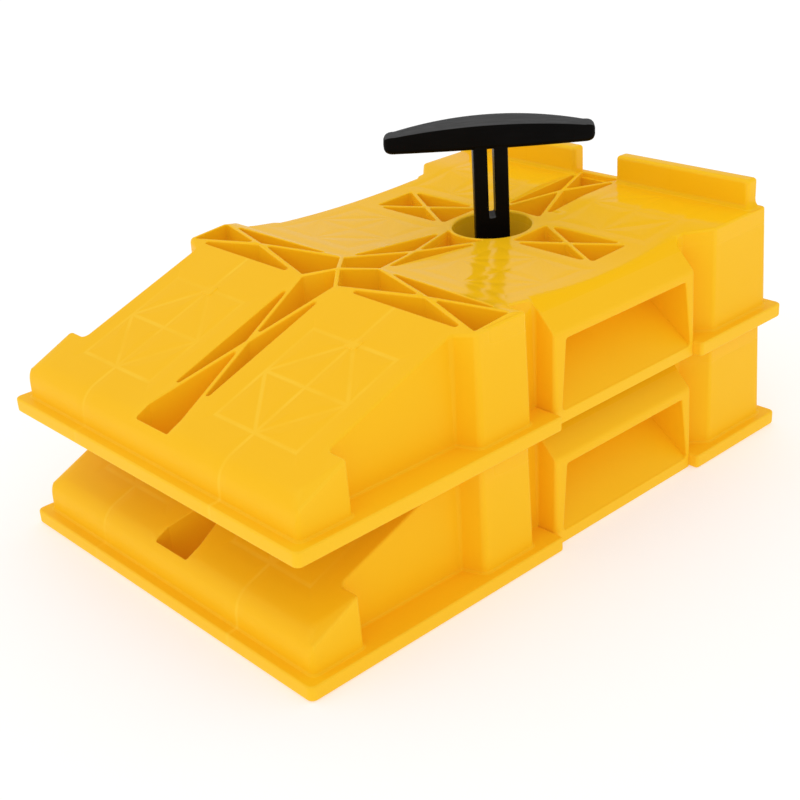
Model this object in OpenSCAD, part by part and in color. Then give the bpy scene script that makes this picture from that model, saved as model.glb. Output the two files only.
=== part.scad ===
// Ramp leveler: two identical moulded cradle ramps, stacked one on the other and held together
// by a T-handle that passes down through the centre bore of both.
// Frame: X runs from the low lip towards the tyre stops, Y across, Z up. The origin is on the
// ground under the middle of the stack. Inside the ramp modules, x is counted from the front
// edge of the flange and z from the underside of that ramp.

/* [Flange] */
// Length of a ramp over its base flange
flange_l = 456; // [450:1:464]
// Width of a ramp over its base flange
flange_w = 302; // [298:1:310]
// Thickness of the base flange
flange_t = 10; // [8:0.5:12]
// Radius of the flange corners, seen from above
flange_r = 4.5; // [4:0.5:12]

/* [Heights] */
// Step from one ramp of the stack to the next
stack_pitch = 87; // [87:0.5:92]
// Height of the crest between the drive-on slope and the cradle
crest_z = 86.7; // [84:0.1:86.7]
// Height of the lowest line of the tyre cradle
cradle_z = 77.2; // [74:0.2:78]
// Height of the flat deck behind the cradle
deck_z = 84.7; // [83:0.1:86]
// Height of the tyre stops
stop_z = 105; // [96:0.5:106]
// Slope of the drive-on face
slope_deg = 20.6; // [19:0.1:21.5]

/* [Shell] */
// Thickness of the outer walls and of the top skin
wall_t = 3.6; // [3:0.2:4.4]
// Thickness of the trench walls and of the crossed ribs in the trenches
rib_t = 3; // [2.4:0.2:3.6]
// Thickness of the ribs of the underside
under_rib_t = 2.4; // [2:0.2:3.2]
// Half width of the ramp across its towers, at the ground
tower_y = 144; // [142:0.5:146]
// How far the tower walls lean inward over the crest height
draft_y = 2; // [0:0.5:3]
// Half width of the ramp between its towers
core_y = 126.5; // [124:0.5:128]

/* [Hand-hold] */
// Height of the hand-hold's lower edge
hold_z0 = 8.5; // [8:0.5:14]
// Height of the hand-hold's upper edge
hold_z1 = 55.4; // [50:0.2:58]
// Depth of the hand-hold
hold_depth = 46; // [30:1:50]

/* [Handle] */
// Turn of the grip from the ramp's long axis
handle_deg = -41; // [-60:1:-30]
// Length of the grip
grip_l = 148; // [130:1:156]
// Height of the grip's underside above the ground
grip_z = 221.5; // [215:0.5:235]
// Width of the stem, along the grip
stem_w = 24.5; // [20:0.5:26]
// Thickness of the stem, across the grip
stem_t = 17; // [12:0.5:18]
// Width of the slots between the two legs of the stem
slot_w = 4.8; // [4:0.2:8]
// Radius of the centre bore
bore_r = 28.5; // [28:0.5:31]

/* [Hidden] */
$fn = 64;
ramp_colour = [0.98, 0.74, 0.13];
handle_colour = [0.06, 0.06, 0.07];
tall = 200;                        // more than any ramp is high, for through cuts

// Stations along the ramp, from the front edge of the flange
lip_x = 8.5;                       // front face of the lip
lip_r = 18;                        // rounding between that face and the slope
lip_z = 18.6;                      // where that rounding starts
nose_x = 46.5;                     // end of the full-width nose
tower_x = [143, 149, 192];         // front tower: foot of its splay, full width, rear face
crest_x = 171.5;                   // middle of the crest
crest_r = 68;
cradle_x = 288.3;                  // lowest line of the cradle
cradle_r = 645.7;
cradle_end = 382;                  // where the cradle runs out into the deck
flange_gap = [213, 358];           // the flange is cut away between these, at the hand-holds
block_x = [215, 358];              // hand-hold block
bore_x = 312.5;                    // centre bore
rear_tower_x = [366, 382];         // rear tower: foot of its splay, full width
rear_x = [448.5, 442];             // rear wall at the ground and at the deck
corner_r = 4;                      // vertical corners of the nose and of the rear towers

// Tyre stops
stop_x = [427.5, 439.5];
stop_y = [20, 136];
stop_edge_r = 2;
stop_foot_r = 3;

// Sloping face of the hand-hold block: its foot on the outer wall, and how steeply it climbs inward
block_face = [tower_y - 0.4, 60.5];
block_face_climb = 1.03;
block_core = core_y - 16;          // the block is drawn from here outward
hold_x = [[221, 355], [226.5, 348.5]]; // ends of the hand-hold at its lower and upper edge
hold_rise = 40;                    // how far its floor climbs inward

// Open trenches in the top, each as [[x0, x1], half width], and their floors
trench_floor = 3;
stop_room = 22;                    // height kept clear of ribs over the tyre stops of the ramp below
ramp_trench = [[14, 150], 17];
mid_trench = [[187, 285], 19];
rear_trench = [[343, 436], 20];
cross_trench = [[150, 187], 138.5];
side_trench = [[295, 334], [34, 105]];
cross_trench_taper = 5;            // how much narrower the cross trench is at its outer ends
rear_fill = 12;                    // solid behind the rear trench
rib_start_x = 30;                  // where the crossed ribs of the slope's trench start
rib_reach = 6;                     // how far they run on into its walls

// Floor of the bore, with the keyhole that the handle's foot passes
plate_z = [10, 14];
key_r = 15.5;                      // lets the stem turn
key_w = 18;
key_l = 54;

// T-handle
handle_x = bore_x - flange_l / 2;
foot_z = [1, 9];
foot_l = 52;
foot_w = 15;
grip_d = 17.5;                     // depth of the grip at its middle
grip_end_d = 12;                   // and near its ends
grip_tip_r = 6.5;                  // rounding of its ends, seen from above
grip_h = 23;                       // height at its middle
grip_end_h = 15.2;                 // and near its ends
grip_end_r = 8;                    // rounding of its ends, seen from the side
slots = [[26, 92], [100, 148], [172.5, grip_z - 2]];
stem_corner_r = 2.5;

module both_sides() {
    children();
    mirror([0, 1, 0]) children();
}

// A plan shape raised from z0 to z1
module raise(z0, z1) {
    translate([0, 0, z0]) linear_extrude(z1 - z0) children();
}

// A shape drawn in x and z, run across the ramp from y0 to y1
module across(y0, y1) {
    translate([0, y1, 0]) rotate([90, 0, 0]) linear_extrude(y1 - y0) children();
}

// A shape drawn in y and z, run along the ramp from x0 to x1
module along(x0, x1) {
    translate([x0, 0, 0]) rotate([90, 0, 90]) linear_extrude(x1 - x0) children();
}

// A thin wall in plan, from point a to point b
module wall_line(a, b, t = rib_t) {
    d = b - a;
    translate(a) rotate(atan2(d.y, d.x)) translate([0, -t / 2]) square([norm(d), t]);
}

// Crossed ribs between the corners of a plan rectangle
module cross_ribs(xs, ys, t = rib_t) {
    wall_line([xs[0], ys[0]], [xs[1], ys[1]], t);
    wall_line([xs[0], ys[1]], [xs[1], ys[0]], t);
}

// A plan rectangle about the centre line
module strip(xs, half) {
    translate([xs[0], -half]) square([xs[1] - xs[0], 2 * half]);
}

// A rectangle with rounded corners, about its centre
module rounded(l, w, r) {
    square([l - 2 * r, w], center = true);
    square([l, w - 2 * r], center = true);
    for (sx = [-1, 1], sy = [-1, 1])
        translate([sx * (l / 2 - r), sy * (w / 2 - r)]) circle(r);
}

// ---- Outline of a ramp from the side, lowered by d and shortened by d at both ends ----
slope_run = lip_x + lip_r * (1 - sin(slope_deg));          // where the lip meets the slope
slope_rise = lip_z + lip_r * cos(slope_deg);
crest_in = crest_x - crest_r * sin(slope_deg);             // where the slope meets the crest
crest_in_z = crest_z - crest_r * (1 - cos(slope_deg));
crest_out = 192;                                           // where the crest meets the cradle

module side_outline(d = 0) {
    low = -2 * sign(d);
    // lip and drive-on slope
    polygon([
        [lip_x + d, low], [crest_out, low], [crest_out, cradle_z - d], [crest_in, crest_in_z - d],
        [slope_run, slope_rise - d], [lip_x + d, lip_z - d],
    ]);
    if (d == 0) translate([lip_x + lip_r, lip_z]) circle(lip_r);
    // crest
    intersection() {
        translate([crest_x, crest_z - crest_r - d]) circle(crest_r);
        translate([crest_in, low]) square([crest_out - crest_in, tall]);
    }
    // cradle
    difference() {
        translate([crest_out, low]) square([cradle_end - crest_out, deck_z + 2 - d - low]);
        translate([cradle_x, cradle_z + cradle_r - d]) circle(cradle_r);
        translate([crest_out - 1, deck_z - d]) square([cradle_end - crest_out + 2, tall]);
    }
    // deck
    polygon([
        [cradle_end, low], [rear_x[0] - d, low], [rear_x[1] - d, deck_z - d], [cradle_end, deck_z - d],
    ]);
}

// ---- Plan of a ramp above its flange, with its walls moved in by d ----
module body_plan(d = 0) {
    r = corner_r - d;
    y = tower_y - d;
    strip([lip_x + d, rear_x[0] - d], core_y - d);
    // nose
    strip([lip_x + corner_r, nose_x - d], y);
    strip([lip_x + d, nose_x - d], y - r);
    both_sides() translate([lip_x + corner_r, tower_y - corner_r]) circle(r);
    both_sides() {
        // front tower
        polygon([
            [tower_x[0] + d, core_y - d - 1], [tower_x[0] + d, core_y - d], [tower_x[1] + d, y],
            [tower_x[2] - d, y], [tower_x[2] - d, core_y - d - 1],
        ]);
        // rear tower
        polygon([
            [rear_tower_x[0] + d, core_y - d - 1], [rear_tower_x[0] + d, core_y - d],
            [rear_tower_x[1] + d, y], [rear_x[0] - corner_r, y], [rear_x[0] - corner_r, core_y - d - 1],
        ]);
        translate([rear_x[0] - corner_r - 1, core_y - d - 1])
            square([corner_r + 1 - d, tower_y - corner_r - core_y + d + 1]);
        translate([rear_x[0] - corner_r, tower_y - corner_r]) circle(r);
    }
}

// Section of the whole width, with the lean of the tower walls
module draft_section(d = 0) {
    polygon([
        [-tower_y + d, -2], [tower_y - d, -2], [tower_y - draft_y - d, crest_z],
        [tower_y - draft_y - d, tall], [-tower_y + draft_y + d, tall], [-tower_y + draft_y + d, crest_z],
    ]);
}

// ---- Hand-hold block, and what it takes off the edge of the cradle ----
module block() {
    top_z = block_face.y + block_face_climb * (block_face.x - block_core);
    both_sides() along(block_x[0], block_x[1]) polygon([
        [block_core, 0], [tower_y, 0], block_face, [block_core, top_z],
    ]);
}

module block_room() {
    both_sides() translate([block_x[0], block_core, -1])
        cube([block_x[1] - block_x[0], tower_y - block_core, tall]);
}

// The hand-hold itself; grow widens it by the thickness of its walls
module hand_hold(grow = 0) {
    intersection() {
        along(hold_x[0][0] - grow, hold_x[0][1] + grow) polygon([
            [tower_y + 1, hold_z0 - 0.9 - 1.2 * grow],
            [tower_y - hold_depth - grow, hold_z0 + hold_rise - 1.2 * grow],
            [tower_y - hold_depth - grow, hold_z1 + grow],
            [tower_y + 1, hold_z1 + grow],
        ]);
        across(0, tower_y + 2) polygon([
            [hold_x[0][0] - grow, -2], [hold_x[0][1] + grow, -2], [hold_x[0][1] + grow, hold_z0],
            [hold_x[1][1] + grow, hold_z1 + grow], [hold_x[1][0] - grow, hold_z1 + grow],
            [hold_x[0][0] - grow, hold_z0],
        ]);
    }
}

// ---- Trenches in the top ----
module side_trench_plan(grow = 0) {
    both_sides() translate([side_trench[0][0] - grow, side_trench[1][0] - grow])
        square([side_trench[0][1] - side_trench[0][0] + 2 * grow,
                side_trench[1][1] - side_trench[1][0] + 2 * grow]);
}

module long_trenches() {
    strip(ramp_trench[0], ramp_trench[1]);
    strip(mid_trench[0] - [1, 0], mid_trench[1]);
    cross_trench_plan();
    side_trench_plan();
}

module cross_trench_plan() {
    both_sides() polygon([
        [cross_trench[0][0], -1], [cross_trench[0][1], -1], [cross_trench[0][1], mid_trench[1]],
        [cross_trench[0][1] - cross_trench_taper, cross_trench[1]], [cross_trench[0][0], cross_trench[1]],
    ]);
}

module grown_trenches() {
    strip(ramp_trench[0] + [-rib_t, rib_t], ramp_trench[1] + rib_t);
    strip(mid_trench[0] + [-rib_t, rib_t], mid_trench[1] + rib_t);
    strip(cross_trench[0] + [-rib_t, rib_t], cross_trench[1] + rib_t);
    side_trench_plan(rib_t);
}

module trench_ribs() {
    x0 = cross_trench[0][0];
    x1 = cross_trench[0][1];
    ramp_y = ramp_trench[1];
    mid_y = mid_trench[1];
    rise = 2 * ramp_y / (x0 - rib_start_x);
    both_sides() {
        wall_line([rib_start_x - rib_reach, -ramp_y - rise * rib_reach], [x0, ramp_y]);
        wall_line([x0, -ramp_y], [x1, mid_y]);
        wall_line([x0, ramp_y], [x1 - cross_trench_taper, cross_trench[1]]);
        wall_line([x1, mid_y], [x0, cross_trench[1]]);
        cross_ribs(side_trench[0], side_trench[1]);
    }
    cross_ribs(mid_trench[0], [-mid_y, mid_y]);
}

module top_trenches() {
    raise(trench_floor, tall) difference() {
        long_trenches();
        trench_ribs();
        circle_at_bore(bore_r + rib_t);
    }
    raise(stop_room + trench_floor, tall) difference() {
        strip(rear_trench[0], rear_trench[1]);
        cross_ribs(rear_trench[0], [-rear_trench[1], rear_trench[1]]);
        circle_at_bore(bore_r + rib_t);
    }
}

module circle_at_bore(r) {
    translate([bore_x, 0]) circle(r);
}

// ---- Ribs of the underside ----
pad_y = [35, 73, 110];             // lengthwise ribs, on each side of the centre line
front_ribs = [37, 76, 115];        // crosswise ribs under the slope
cradle_ribs = [207, 244, 281];     // under the front of the cradle
rear_ribs = [344, 382, 420];       // under its rear

// A pad of ribs: three each way, and a diamond between the middles of its sides
module pad_ribs(xs, ys) {
    t = under_rib_t;
    for (x = xs) wall_line([x, ys[0]], [x, ys[2]], t);
    for (y = ys) wall_line([xs[0], y], [xs[2], y], t);
    for (x = [xs[0], xs[2]], y = [ys[0], ys[2]]) wall_line([x, ys[1]], [xs[1], y], t);
}

module under_ribs() {
    both_sides() for (xs = [front_ribs, cradle_ribs, rear_ribs]) pad_ribs(xs, pad_y);
    // crosswise walls that tie the bore and the pads together
    for (x = [cradle_ribs[2], rear_ribs[0]])
        strip([x - under_rib_t / 2, x + under_rib_t / 2], core_y - wall_t + 1);
}

// Hollow of the underside
module underside() {
    intersection() {
        union() {
            raise(-1, stop_room) difference() {
                body_plan(wall_t);
                grown_trenches();
                circle_at_bore(bore_r + wall_t);
                under_ribs();
            }
            raise(stop_room - 1, tall) difference() {
                body_plan(wall_t);
                grown_trenches();
                strip(rear_trench[0] + [-rib_t, rear_fill], rear_trench[1] + rib_t);
                circle_at_bore(bore_r + wall_t);
                under_ribs();
            }
        }
        across(-flange_w / 2, flange_w / 2) side_outline(wall_t);
        along(0, flange_l) draft_section(wall_t);
    }
}

module flange() {
    raise(0, flange_t) difference() {
        translate([flange_l / 2, 0]) rounded(flange_l, flange_w, flange_r);
        both_sides() translate([flange_gap[0], tower_y - 4])
            square([flange_gap[1] - flange_gap[0], flange_w]);
    }
}

module tyre_stops() {
    t = stop_x[1] - stop_x[0];
    rise = stop_z - deck_z;
    both_sides() across(stop_y[0], stop_y[1]) {
        translate([stop_x[0], deck_z - 1]) square([t, rise - stop_edge_r + 1]);
        translate([stop_x[0] + stop_edge_r, deck_z]) square([t - 2 * stop_edge_r, rise]);
        for (x = [stop_x[0] + stop_edge_r, stop_x[1] - stop_edge_r])
            translate([x, stop_z - stop_edge_r]) circle(stop_edge_r);
        difference() {
            translate([stop_x[0] - stop_foot_r, deck_z - 1]) square([stop_foot_r + 1, stop_foot_r + 1]);
            translate([stop_x[0] - stop_foot_r, deck_z + stop_foot_r]) circle(stop_foot_r);
        }
    }
}

// One complete ramp, with x from the front edge of its flange
module ramp() {
    difference() {
        union() {
            flange();
            intersection() {
                union() {
                    difference() {
                        raise(0, tall) body_plan();
                        block_room();
                    }
                    block();
                }
                across(-flange_w / 2, flange_w / 2) side_outline();
                along(0, flange_l) draft_section();
            }
            tyre_stops();
        }
        difference() {
            underside();
            both_sides() hand_hold(wall_t);
        }
        both_sides() hand_hold();
        top_trenches();
        // bore, its keyhole, and the room for the handle's foot
        translate([bore_x, 0, plate_z[1]]) cylinder(h = tall, r = bore_r);
        translate([bore_x, 0, -1]) cylinder(h = plate_z[0] + 1, r = bore_r);
        translate([bore_x, 0, -1]) cylinder(h = tall, r = key_r);
        translate([bore_x, 0, -1]) rotate(handle_deg) translate([-key_l / 2, -key_w / 2, 0])
            cube([key_l, key_w, plate_z[1] + 2]);
    }
}

module lower_ramp() {
    color(ramp_colour) translate([-flange_l / 2, 0, 0]) ramp();
}

module upper_ramp() {
    color(ramp_colour) translate([-flange_l / 2, 0, stack_pitch]) ramp();
}

// Grip, drawn along x about its middle, with z from its underside
module grip() {
    end_x = grip_l / 2 - grip_end_r;
    tip_x = grip_l / 2 - grip_tip_r;
    rise = grip_h - grip_end_h;
    top_r = (end_x * end_x + rise * rise) / (2 * rise);
    lens = (grip_d - grip_end_d) / 2;
    side_r = (end_x * end_x + lens * lens) / (2 * lens);
    intersection() {
        across(-grip_d, grip_d) intersection() {
            translate([0, grip_h - top_r]) circle(top_r, $fn = 256);
            union() {
                translate([-end_x, 0]) square([2 * end_x, grip_h]);
                for (s = [-1, 1]) translate([s * end_x, grip_end_r]) circle(grip_end_r);
            }
        }
        raise(0, grip_h) intersection() {
            translate([0, grip_d / 2 - side_r]) circle(side_r, $fn = 256);
            translate([0, side_r - grip_d / 2]) circle(side_r, $fn = 256);
            union() {
                square([2 * tip_x, grip_d], center = true);
                for (s = [-1, 1]) translate([s * tip_x, 0]) circle(grip_tip_r);
            }
        }
    }
}

module stem() {
    difference() {
        union() {
            raise(foot_z[0], grip_z + 1) rounded(stem_w, stem_t, stem_corner_r);
            raise(foot_z[0], foot_z[1]) rounded(foot_l, foot_w, foot_w / 3);
        }
        for (s = slots) across(-stem_t, stem_t)
            translate([-slot_w / 2, s[0]]) square([slot_w, s[1] - s[0]]);
    }
}

module handle() {
    color(handle_colour) translate([handle_x, 0, 0]) rotate(handle_deg) {
        stem();
        translate([0, 0, grip_z]) grip();
    }
}

lower_ramp();
upper_ramp();
handle();
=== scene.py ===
"""Looks of the ramp leveler: two stacked yellow ramps and their black T-handle, around the CAD frame.

The ramps and the handle are rebuilt as fine meshes with moulded, rounded edges. Lengths inside the
ramp functions are millimetres in the ramp's own frame: x from the front edge of its flange, z from
its underside.
"""
import math

import bmesh
import bpy
import numpy as np
from mathutils import Matrix, Vector
from mathutils.geometry import delaunay_2d_cdt


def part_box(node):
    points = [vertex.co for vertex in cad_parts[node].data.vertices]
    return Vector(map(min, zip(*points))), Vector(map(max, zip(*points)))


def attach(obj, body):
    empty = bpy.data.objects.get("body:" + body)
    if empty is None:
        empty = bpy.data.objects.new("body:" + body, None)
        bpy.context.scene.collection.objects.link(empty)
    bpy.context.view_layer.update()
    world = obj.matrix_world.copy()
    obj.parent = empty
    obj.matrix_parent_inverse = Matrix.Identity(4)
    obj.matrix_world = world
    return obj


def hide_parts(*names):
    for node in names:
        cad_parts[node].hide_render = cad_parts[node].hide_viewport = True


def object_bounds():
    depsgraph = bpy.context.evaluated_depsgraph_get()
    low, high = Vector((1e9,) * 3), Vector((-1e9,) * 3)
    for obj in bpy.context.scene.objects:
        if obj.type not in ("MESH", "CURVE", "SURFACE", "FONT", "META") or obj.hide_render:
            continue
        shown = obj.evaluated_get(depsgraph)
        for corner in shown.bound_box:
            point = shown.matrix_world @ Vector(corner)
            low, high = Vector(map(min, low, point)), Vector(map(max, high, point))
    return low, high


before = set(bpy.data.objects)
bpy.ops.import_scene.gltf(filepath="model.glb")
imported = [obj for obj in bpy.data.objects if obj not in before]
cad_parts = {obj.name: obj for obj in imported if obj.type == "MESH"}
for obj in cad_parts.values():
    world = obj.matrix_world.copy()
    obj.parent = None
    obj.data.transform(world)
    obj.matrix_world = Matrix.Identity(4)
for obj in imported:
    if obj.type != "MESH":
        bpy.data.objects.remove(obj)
cad_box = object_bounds()
scene = bpy.context.scene
MM = 0.001

# Where the CAD has each ramp and the handle
low_lo, low_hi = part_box("lower_ramp")
up_lo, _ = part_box("upper_ramp")
handle_lo, handle_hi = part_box("handle")
LENGTH = (low_hi.x - low_lo.x) / MM
HALF_WIDTH = low_hi.y / MM

# ---- Stations and heights of a ramp ----
LIP_X, LIP_R, LIP_Z = 8.5, 18, 18.6
NOSE_X = 46.5
TOWER_X = (143, 149, 192)
CREST_X, CREST_Z, CREST_R = 171.5, 86.7, 68
CREST_OUT = TOWER_X[2]
CRADLE_X, CRADLE_Z, CRADLE_R = 288.3, 77.2, 645.7
CRADLE_END, DECK_Z = 382, 84.7
SLOPE = math.radians(20.6)
BLOCK_X = (215, 358)
FLANGE_GAP = (213, 358)
BORE_X, BORE_R = 312.5, 28.5
REAR_TOWER_X = (366, 382)
REAR_X, REAR_LEAN = 442, 4.5
REAR_IN = 443                       # inner face of the rear wall, at the ground
TOWER_Y, CORE_Y, BLOCK_Y = 142, 126.5, 143
DRAFT = 2 / 87                      # how far the walls lean in for each millimetre of height
WALL, RIB, UNDER_RIB = 3.6, 3.0, 2.4
FLANGE_T, FLANGE_R = 10, 4.5
BLOCK_FOOT, BLOCK_CLIMB = 60.5, 1.03
BLOCK_FACE_Y = BLOCK_Y + 0.6        # where the sloping face would reach its foot
BLOCK_BLEND, CREASE_R = 3, 2.5      # how softly that face ends, and meets the cradle
STOP_X, STOP_Y, STOP_Z = (427.5, 439.5), (20, 136), (low_hi.z - low_lo.z) / MM
TRENCH_FLOOR, STOP_ROOM = 3, 22
PLATE_Z = (10, 14)
KEY_R, KEY_L, KEY_W = 15.5, 54, 18
HANDLE_TURN = math.radians(-41)
HOLD_Z = (8.5, 55.4)
HOLD_X = ((221, 354.5), (226.5, 348.5))
HOLD_DEPTH, HOLD_CLIMB = 46, 0.87
LAND_Z = 0.3                        # the shell's rim stays just above the flange's own underside

# Fineness of the meshes
EDGE_STEPS = 4                      # steps round a rounded edge
MERGE = 0.004                       # points nearer than this are one point
CLEAR = 0.4                         # inner points keep this far from an outline
SHARP_ANGLE = math.radians(35)      # edges that turn more than this are shaded as sharp
SLIGHT_TURN = math.radians(14)      # corners that turn less than this are not rounded

# Roundings of the ramp's edges, and fillets
EDGE_R, CELL_EDGE_R, BORE_EDGE_R, HOLD_EDGE_R, SLAB_EDGE_R = 1.8, 1.0, 1.5, 1.2, 1.5
FOOT_R = 1.6


# ---- Plan geometry ----
def unit(a):
    size = math.hypot(a[0], a[1])
    return a[0] / size, a[1] / size


def rounded(corners, radius, step=math.radians(20)):
    """A closed outline, counter-clockwise, with its corners turned into arcs. radius is one number,
    or one for each corner."""
    out = []
    n = len(corners)
    for i, p in enumerate(corners):
        r = radius[i] if isinstance(radius, (list, tuple)) else radius
        before, after = corners[i - 1], corners[(i + 1) % n]
        a = unit((before[0] - p[0], before[1] - p[1]))
        b = unit((after[0] - p[0], after[1] - p[1]))
        inner = math.acos(max(-1, min(1, a[0] * b[0] + a[1] * b[1])))
        turn = math.pi - inner
        if r <= 0 or turn < SLIGHT_TURN:
            out.append(p)
            continue
        reach = r / math.tan(inner / 2)
        limit = 0.45 * min(math.dist(before, p), math.dist(after, p))
        if reach > limit:
            reach, r = limit, limit * math.tan(inner / 2)
        middle = unit((a[0] + b[0], a[1] + b[1]))
        away = r / math.sin(inner / 2)
        centre = (p[0] + middle[0] * away, p[1] + middle[1] * away)
        start = (p[0] + a[0] * reach, p[1] + a[1] * reach)
        end = (p[0] + b[0] * reach, p[1] + b[1] * reach)
        a0 = math.atan2(start[1] - centre[1], start[0] - centre[0])
        a1 = math.atan2(end[1] - centre[1], end[0] - centre[0])
        sweep = (a1 - a0 + math.pi) % (2 * math.pi) - math.pi
        count = max(2, math.ceil(abs(sweep) / step))
        for k in range(count + 1):
            angle = a0 + sweep * k / count
            out.append((centre[0] + r * math.cos(angle), centre[1] + r * math.sin(angle)))
    return out


def inset(outline, d):
    """The outline moved towards its inside by d, or outward where d is negative."""
    out = []
    n = len(outline)
    for i, p in enumerate(outline):
        e0 = unit((p[0] - outline[i - 1][0], p[1] - outline[i - 1][1]))
        e1 = unit((outline[(i + 1) % n][0] - p[0], outline[(i + 1) % n][1] - p[1]))
        n0, n1 = (-e0[1], e0[0]), (-e1[1], e1[0])
        m = unit((n0[0] + n1[0], n0[1] + n1[1]))
        reach = d / max(0.35, m[0] * n0[0] + m[1] * n0[1])
        out.append((p[0] + m[0] * reach, p[1] + m[1] * reach))
    return out


def circle(x, y, r, count=64):
    turns = [2 * math.pi * k / count for k in range(count)]
    return [(x + r * math.cos(a), y + r * math.sin(a)) for a in turns]


def rect(x0, x1, y0, y1):
    return [(x0, y0), (x1, y0), (x1, y1), (x0, y1)]


def bar(a, b, width):
    """The rectangle of a thin wall from a to b."""
    d = unit((b[0] - a[0], b[1] - a[1]))
    nx, ny = -d[1] * width / 2, d[0] * width / 2
    return [(a[0] - nx, a[1] - ny), (b[0] - nx, b[1] - ny),
            (b[0] + nx, b[1] + ny), (a[0] + nx, a[1] + ny)]


def cross(xs, ys, width):
    return [bar((xs[0], ys[0]), (xs[1], ys[1]), width), bar((xs[0], ys[1]), (xs[1], ys[0]), width)]


def flip(outline):
    """The same outline on the other side of the centre line, counter-clockwise again."""
    return [(x, -y) for x, y in reversed(outline)]


def both(outlines):
    return list(outlines) + [flip(o) for o in outlines]


def inside(points, outlines):
    """Which points have an odd number of outlines round them."""
    points = np.asarray(points, float).reshape(-1, 2)
    odd = np.zeros(len(points), bool)
    for o in outlines:
        a = np.asarray(o, float)
        b = np.roll(a, -1, axis=0)
        for start in range(0, len(points), 4000):
            x, y = points[start:start + 4000, 0:1], points[start:start + 4000, 1:2]
            spans = (a[:, 1] > y) != (b[:, 1] > y)
            rise = np.where(b[:, 1] == a[:, 1], 1, b[:, 1] - a[:, 1])
            at = a[:, 0] + (y - a[:, 1]) * (b[:, 0] - a[:, 0]) / rise
            odd[start:start + 4000] ^= (np.sum(spans & (x < at), axis=1) % 2).astype(bool)
    return odd


def clearance(points, outlines):
    """How far each point is from the nearest edge of the outlines."""
    points = np.asarray(points, float)
    least = np.full(len(points), np.inf)
    for o in outlines:
        a = np.asarray(o, float)
        run = np.roll(a, -1, axis=0) - a
        size = np.maximum(np.sum(run ** 2, axis=1), 1e-12)
        for i in range(len(a)):
            t = np.clip(((points - a[i]) @ run[i]) / size[i], 0, 1)
            least = np.minimum(least, np.linalg.norm(points - a[i] - t[:, None] * run[i], axis=1))
    return least


def covered(points, outlines):
    """Which points lie in at least one of the outlines."""
    found = np.zeros(len(points), bool)
    for o in outlines:
        found |= inside(points, [o])
    return found


def triangulate(outlines, free=()):
    """Triangles over the outlines' points and the free ones, with every outline's edges kept.
    Returns points, triangles, and for each point the numbers of the given points that it is."""
    points, edges = [], []
    for o in outlines:
        first = len(points)
        points += [Vector(p) for p in o]
        edges += [(first + k, first + (k + 1) % len(o)) for k in range(len(o))]
    points += [Vector(p) for p in free]
    made = delaunay_2d_cdt(points, edges, [], 0, 1e-4)
    return made[0], made[2], made[3]


def left_turn(points, before, at, after):
    """Angle at a point from the way back to the way on."""
    back, on = points[before] - points[at], points[after] - points[at]
    return (math.atan2(on.y, on.x) - math.atan2(back.y, back.x)) % (2 * math.pi)


def regions(outlines, keep):
    """The outer loops of what keep says, cut along the outlines, with straight runs joined up."""
    points, triangles, _ = triangulate(outlines)
    centres = [sum((points[i] for i in t), Vector((0, 0))) / 3 for t in triangles]
    kept = [t for t, k in zip(triangles, keep(centres)) if k]
    after = {}
    edges = {(t[i], t[(i + 1) % 3]) for t in kept for i in range(3)}
    for a, b in edges:
        if (b, a) not in edges:
            after.setdefault(a, []).append(b)
    loops = []
    while after:
        start = min(after)
        loop, at = [], start
        while True:
            loop.append(at)
            nexts = after[at]
            if len(nexts) == 1 or len(loop) == 1:
                to = nexts.pop(0)
            else:                          # where cells touch at a point, take the sharpest left turn
                to = max(nexts, key=lambda c: left_turn(points, loop[-2], at, c))
                nexts.remove(to)
            if not after[at]:
                del after[at]
            if to == start:
                break
            at = to
        loops.append(straightened([tuple(points[i]) for i in loop]))
    return loops


def straightened(loop, flat=math.radians(1.0)):
    out = []
    n = len(loop)
    for i, p in enumerate(loop):
        a, b = loop[i - 1], loop[(i + 1) % n]
        if math.dist(a, p) < 0.02:
            continue
        turn = math.atan2(b[1] - p[1], b[0] - p[0]) - math.atan2(p[1] - a[1], p[0] - a[0])
        if abs((turn + math.pi) % (2 * math.pi) - math.pi) > flat:
            out.append(p)
    return out


# ---- Mesh building ----
def quarter(r, steps=EDGE_STEPS):
    """How far a rounded edge of radius r is from its two faces, at each step."""
    for k in range(steps + 1):
        a = math.pi / 2 * k / steps
        yield r * (1 - math.cos(a)), r * (1 - math.sin(a))


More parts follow.
